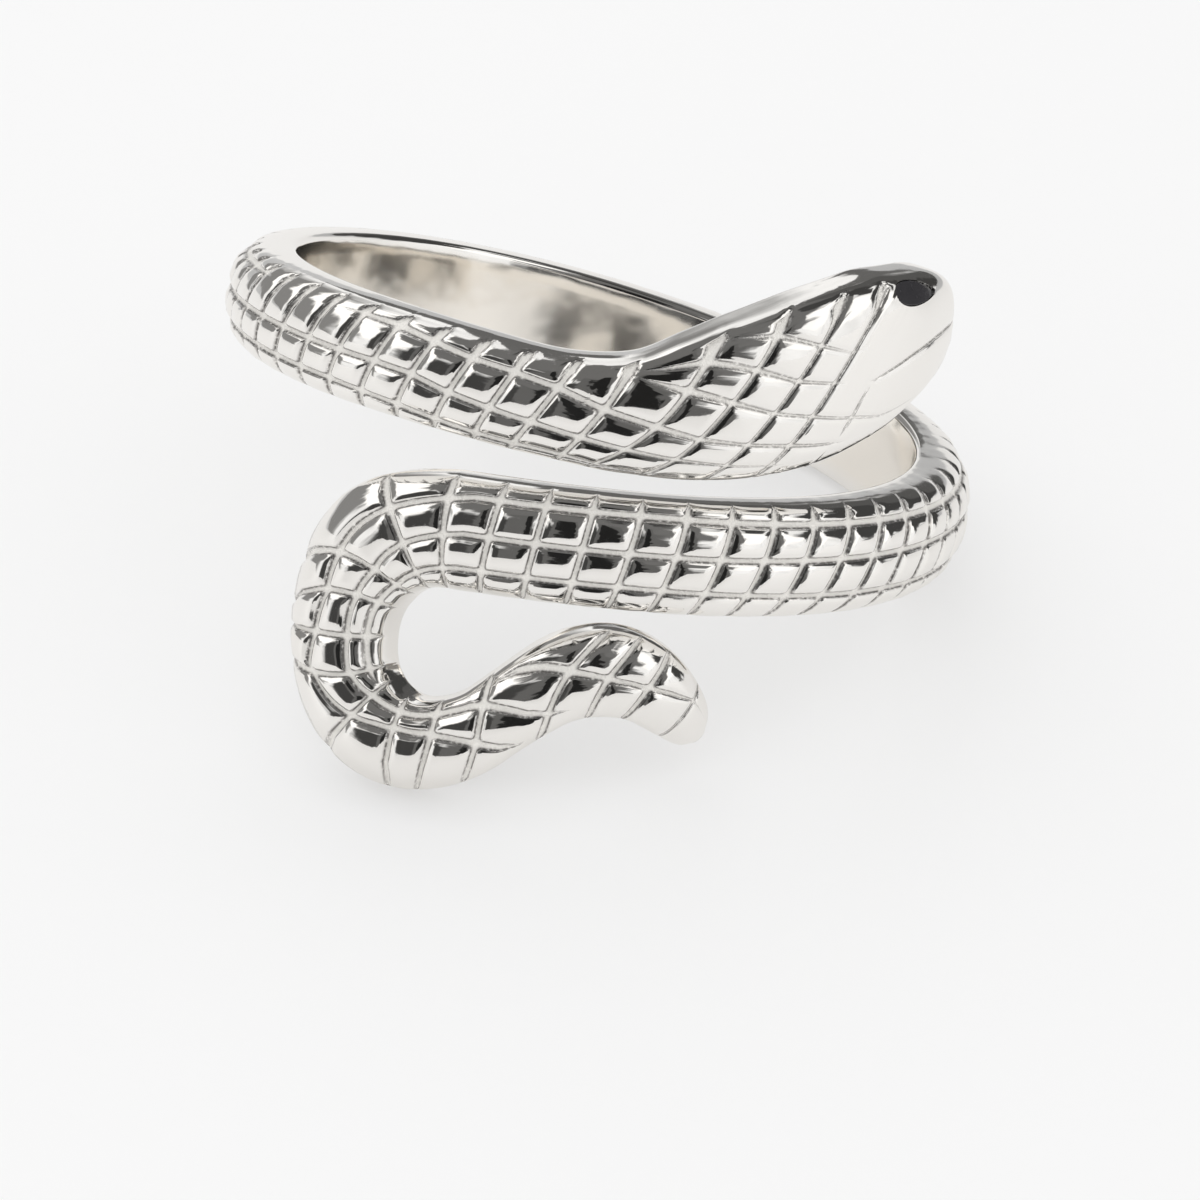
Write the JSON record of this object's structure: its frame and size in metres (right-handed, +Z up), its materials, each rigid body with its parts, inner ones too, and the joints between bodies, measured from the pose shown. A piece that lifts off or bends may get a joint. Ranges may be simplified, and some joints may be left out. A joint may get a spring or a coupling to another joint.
{
  "type": "snake wrap ring",
  "caption": "Open finger ring in the form of a snake that winds round the finger: broad head, scale relief outside, smooth bore, hooked tail.",
  "frame": {"origin": "middle of the ring's box, at the table it rests on", "axes": "+Z is up from the table, -Y is the side where the head and the hooked tail show, +X is to the right of a viewer on that side"},
  "size_m": [0.02, 0.0218, 0.0124],
  "materials": {
    "silver": "polished cast silver, darker and rougher in the grooves",
    "eye_inlay": "glossy black enamel"
  },
  "bodies": {
    "root": {"snake_body": "silver", "eye": "eye_inlay"}
  },
  "joints": []
}
